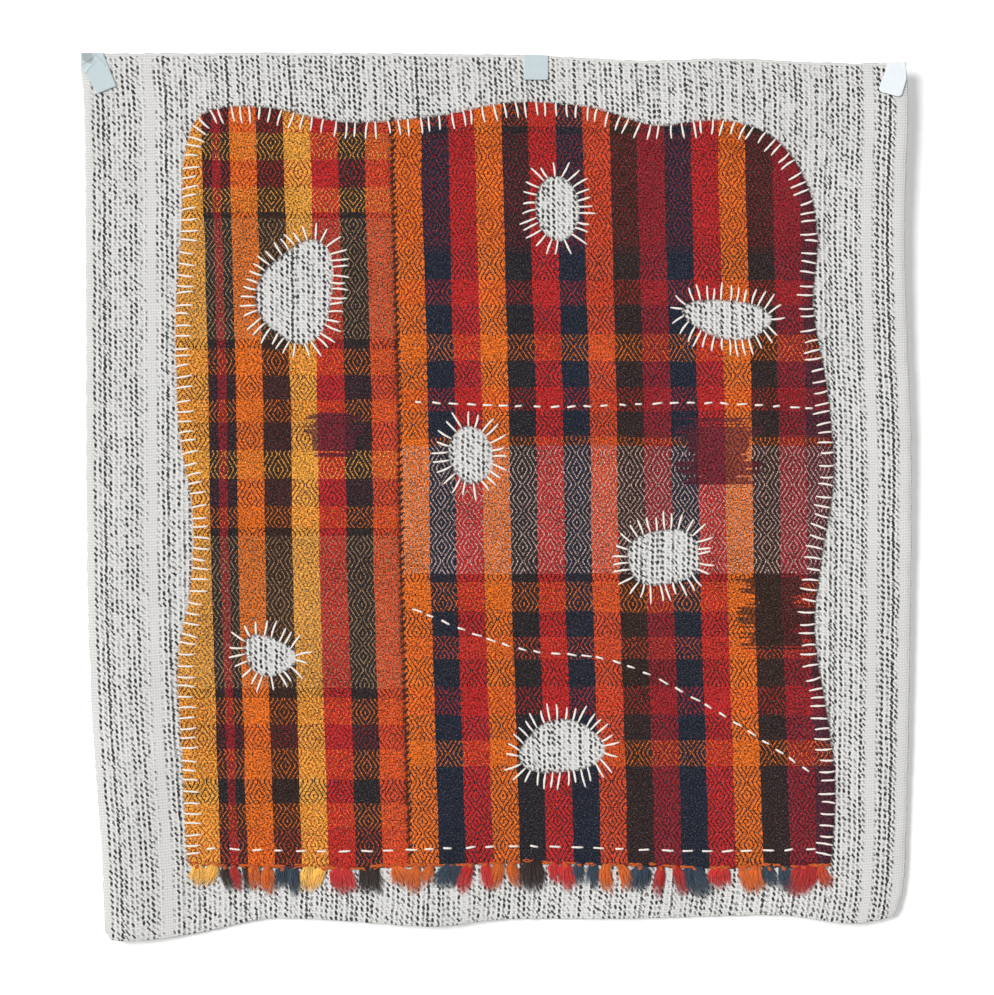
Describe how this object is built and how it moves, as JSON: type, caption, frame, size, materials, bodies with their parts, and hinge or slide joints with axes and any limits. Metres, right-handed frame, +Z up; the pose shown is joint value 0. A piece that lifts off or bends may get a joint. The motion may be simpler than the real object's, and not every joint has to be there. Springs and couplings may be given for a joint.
{
  "type": "woven wall hanging",
  "caption": "Hung marled cotton cloth with a sewn-on plaid wool patch that has worn holes and a fringed hem, held by folded tabs at its top edge.",
  "frame": {"origin": "middle of the cloth's top edge, on the plane of the wall", "axes": "+Z up, +X to the right as seen from the front, +Y into the wall, so the hanging faces -Y"},
  "size_m": [0.8281, 0.016, 0.8844],
  "materials": {
    "marled_cloth": "matte, off-white cotton weave with marled black dashes",
    "plaid_wool": "matte, diamond twill wool check in orange, red, ochre, navy and charcoal",
    "fringe_wool": "matte, frayed wool warp ends",
    "stitch_cotton": "matte, off-white cotton yarn",
    "tab_tape": "satin, pale blue-grey"
  },
  "bodies": {
    "root": {"backing_cloth": "marled_cloth", "plaid_panel_left": "plaid_wool", "plaid_panel_right": "plaid_wool", "fringe_left": "fringe_wool", "fringe_right": "fringe_wool", "hanging_tab_left": "tab_tape", "hanging_tab_middle": "tab_tape", "hanging_tab_right": "tab_tape"}
  },
  "joints": []
}
